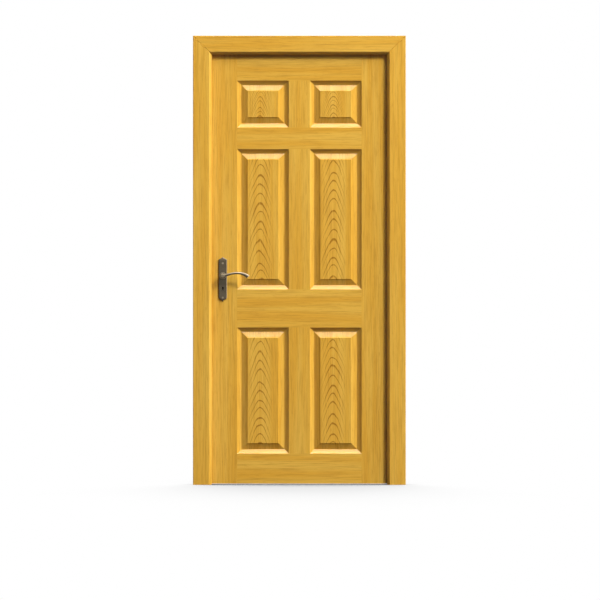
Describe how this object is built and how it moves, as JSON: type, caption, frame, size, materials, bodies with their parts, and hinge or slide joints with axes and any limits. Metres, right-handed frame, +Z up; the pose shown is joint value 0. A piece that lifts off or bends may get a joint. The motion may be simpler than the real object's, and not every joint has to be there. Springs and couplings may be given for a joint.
{
  "type": "panelled door in frame",
  "caption": "Timber door with raised panels, hung on butt hinges in a rebated frame with mitred casings, and a sprung lever handle on long pointed backplates.",
  "frame": {"origin": "on the wall face of the hinge jamb (right hand seen from the front), at floor level, at the middle of the jamb's depth", "axes": "+X out of the hinge jamb into the wall, +Y away from the viewer to the side the leaf opens to, +Z up"},
  "size_m": [1.004, 0.139, 2.119],
  "materials": {
    "frame_timber": "clear varnish, satin",
    "leaf_timber": "clear varnish, satin",
    "panel_timber": "clear varnish, satin",
    "hinge_metal": "antique, satin",
    "lock_steel": "satin",
    "handle_iron": "antique dark, waxed"
  },
  "bodies": {
    "frame": {"hinge_jamb": "frame_timber", "lock_jamb": "frame_timber", "head_jamb": "frame_timber", "front_left_casing": "frame_timber", "front_head_casing": "frame_timber", "front_right_casing": "frame_timber", "back_left_casing": "frame_timber", "back_head_casing": "frame_timber", "back_right_casing": "frame_timber", "top_hinge_frame_half": "hinge_metal", "middle_hinge_frame_half": "hinge_metal", "bottom_hinge_frame_half": "hinge_metal", "top_hinge_pin": "hinge_metal", "middle_hinge_pin": "hinge_metal", "bottom_hinge_pin": "hinge_metal", "strike_plate": "lock_steel"},
    "leaf": {"lock_stile": "leaf_timber", "hinge_stile": "leaf_timber", "top_rail": "leaf_timber", "frieze_rail": "leaf_timber", "lock_rail": "leaf_timber", "bottom_rail": "leaf_timber", "top_muntin": "leaf_timber", "middle_muntin": "leaf_timber", "bottom_muntin": "leaf_timber", "top_left_panel": "panel_timber", "top_right_panel": "panel_timber", "middle_left_panel": "panel_timber", "middle_right_panel": "panel_timber", "bottom_left_panel": "panel_timber", "bottom_right_panel": "panel_timber", "top_hinge_leaf_half": "hinge_metal", "middle_hinge_leaf_half": "hinge_metal", "bottom_hinge_leaf_half": "hinge_metal", "lock_faceplate": "lock_steel", "latch_bolt": "lock_steel", "dead_bolt": "lock_steel", "lock_case": "lock_steel", "front_backplate": "handle_iron", "back_backplate": "handle_iron"},
    "lever": {"front_lever": "handle_iron", "back_lever": "handle_iron", "spindle": "lock_steel"}
  },
  "joints": [
    {"name": "door_swing", "type": "hinge", "parent": "frame", "child": "leaf", "pos_m": [-0.02475, 0.034, 1], "axis": [0, 0, -1], "range_deg": [0, 110]},
    {"name": "lever_turn", "type": "hinge", "parent": "leaf", "child": "lever", "pos_m": [-0.8085, 0.008, 0.986], "axis": [0, 1, 0], "range_deg": [0, 40], "stiffness_Nm_per_rad": 1.5, "springref_deg": -40.11}
  ]
}
